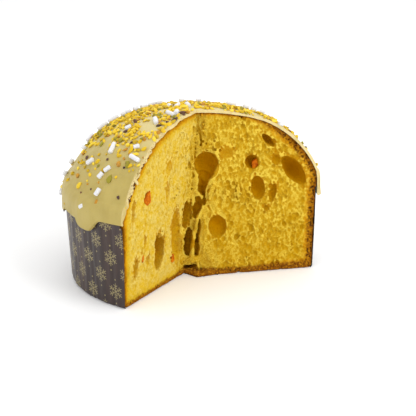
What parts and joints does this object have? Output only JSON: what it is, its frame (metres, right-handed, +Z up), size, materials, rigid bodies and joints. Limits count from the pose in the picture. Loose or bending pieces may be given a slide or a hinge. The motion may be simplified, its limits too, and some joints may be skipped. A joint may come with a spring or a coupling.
{
  "type": "panettone",
  "caption": "Low domed sweet loaf in a fluted paper case, with pistachio icing, chopped nuts and sugar rods, and a wide wedge cut away to show its airy crumb.",
  "frame": {"origin": "centre of the round base, on the surface that the case stands on", "axes": "+Z up through the dome, -Y out of the middle of the cut, +X towards the fuller cut face's side"},
  "size_m": [0.2175, 0.165, 0.1439],
  "materials": {
    "case_paper": "dark brown greaseproof paper with a faint sheen, printed with pale snowflakes",
    "crumb": "matt, soft and open, with a browned crust along its edges",
    "icing": "set pistachio icing with a satin sheen",
    "candied_orange": "moist and glossy"
  },
  "bodies": {
    "root": {"paper_case": "case_paper", "loaf": "crumb", "icing": "icing", "candied_orange_1": "candied_orange", "candied_orange_2": "candied_orange", "candied_orange_3": "candied_orange", "candied_orange_4": "candied_orange"}
  },
  "joints": []
}
